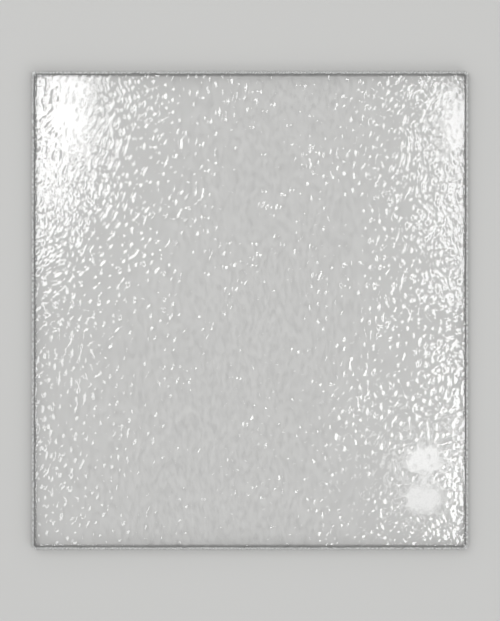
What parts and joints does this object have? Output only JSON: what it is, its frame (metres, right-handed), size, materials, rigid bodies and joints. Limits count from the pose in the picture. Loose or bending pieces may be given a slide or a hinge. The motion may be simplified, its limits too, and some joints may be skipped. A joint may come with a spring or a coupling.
{
  "type": "patterned glass pane",
  "caption": "Clear rolled patterned glass pane, flat and oblong, with a fine water-ripple relief and ground arrises, for glazing.",
  "frame": {"origin": "middle of the underside, on the level surface that the pane lies on", "axes": "+X across the pane, +Y up the pane's longer side as glazed, +Z out of the face seen from above"},
  "size_m": [0.274, 0.3, 0.006],
  "materials": {
    "clear_glass": "clear, fire-finished, rippled on one face; fine-ground edges"
  },
  "bodies": {
    "root": {"glass_pane": "clear_glass"}
  },
  "joints": []
}
